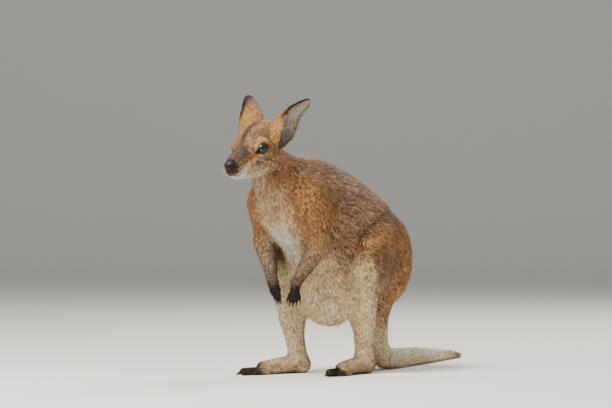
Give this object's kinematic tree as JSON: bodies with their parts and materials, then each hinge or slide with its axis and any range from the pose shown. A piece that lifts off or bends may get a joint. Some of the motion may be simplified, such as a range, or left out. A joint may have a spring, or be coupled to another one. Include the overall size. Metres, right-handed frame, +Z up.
{
  "type": "wallaby model",
  "caption": "Life-size still model of a red-necked wallaby standing upright on its hind feet and tail, hands hanging before the belly.",
  "frame": {"origin": "centre of the bounding box in plan, at the level the feet and tail rest on", "axes": "+Z up; the animal faces -Y; +X to the animal's left"},
  "size_m": [0.3244, 0.9726, 0.5606],
  "materials": {
    "coat_back": "grizzled grey-brown fur",
    "coat_neck": "rufous-tan fur",
    "coat_head": "short grey-brown fur",
    "coat_ears": "very short tan fur, dark at the tips",
    "coat_arms": "tan fur that darkens to the wrist",
    "coat_hands": "short black fur",
    "coat_thighs": "rust-brown fur",
    "coat_shanks": "pale grizzled fur",
    "coat_feet": "short pale fur, black on the toes",
    "coat_tail": "pale grey fur",
    "nose_pad": "black moist skin",
    "eyes": "wet dark brown",
    "claws": "black horn, worn"
  },
  "bodies": {
    "root": {"head": "coat_head", "neck": "coat_neck", "trunk": "coat_back", "nose": "nose_pad", "eye_left": "eyes", "ear_left": "coat_ears", "upper_arm_left": "coat_arms", "forearm_left": "coat_arms", "hand_left": "coat_hands", "thigh_left": "coat_thighs", "shank_left": "coat_shanks", "foot_left": "coat_feet", "claw_hand_left_1": "claws", "claw_hand_left_2": "claws", "claw_hand_left_3": "claws", "claw_hand_left_4": "claws", "claw_hand_left_5": "claws", "claw_foot_left_inner": "claws", "claw_foot_left_fourth": "claws", "claw_foot_left_fifth": "claws", "eye_right": "eyes", "ear_right": "coat_ears", "upper_arm_right": "coat_arms", "forearm_right": "coat_arms", "hand_right": "coat_hands", "thigh_right": "coat_thighs", "shank_right": "coat_shanks", "foot_right": "coat_feet", "claw_hand_right_1": "claws", "claw_hand_right_2": "claws", "claw_hand_right_3": "claws", "claw_hand_right_4": "claws", "claw_hand_right_5": "claws", "claw_foot_right_inner": "claws", "claw_foot_right_fourth": "claws", "claw_foot_right_fifth": "claws", "tail_base": "coat_tail", "tail_middle": "coat_tail", "tail_tip": "coat_tail"}
  },
  "joints": []
}
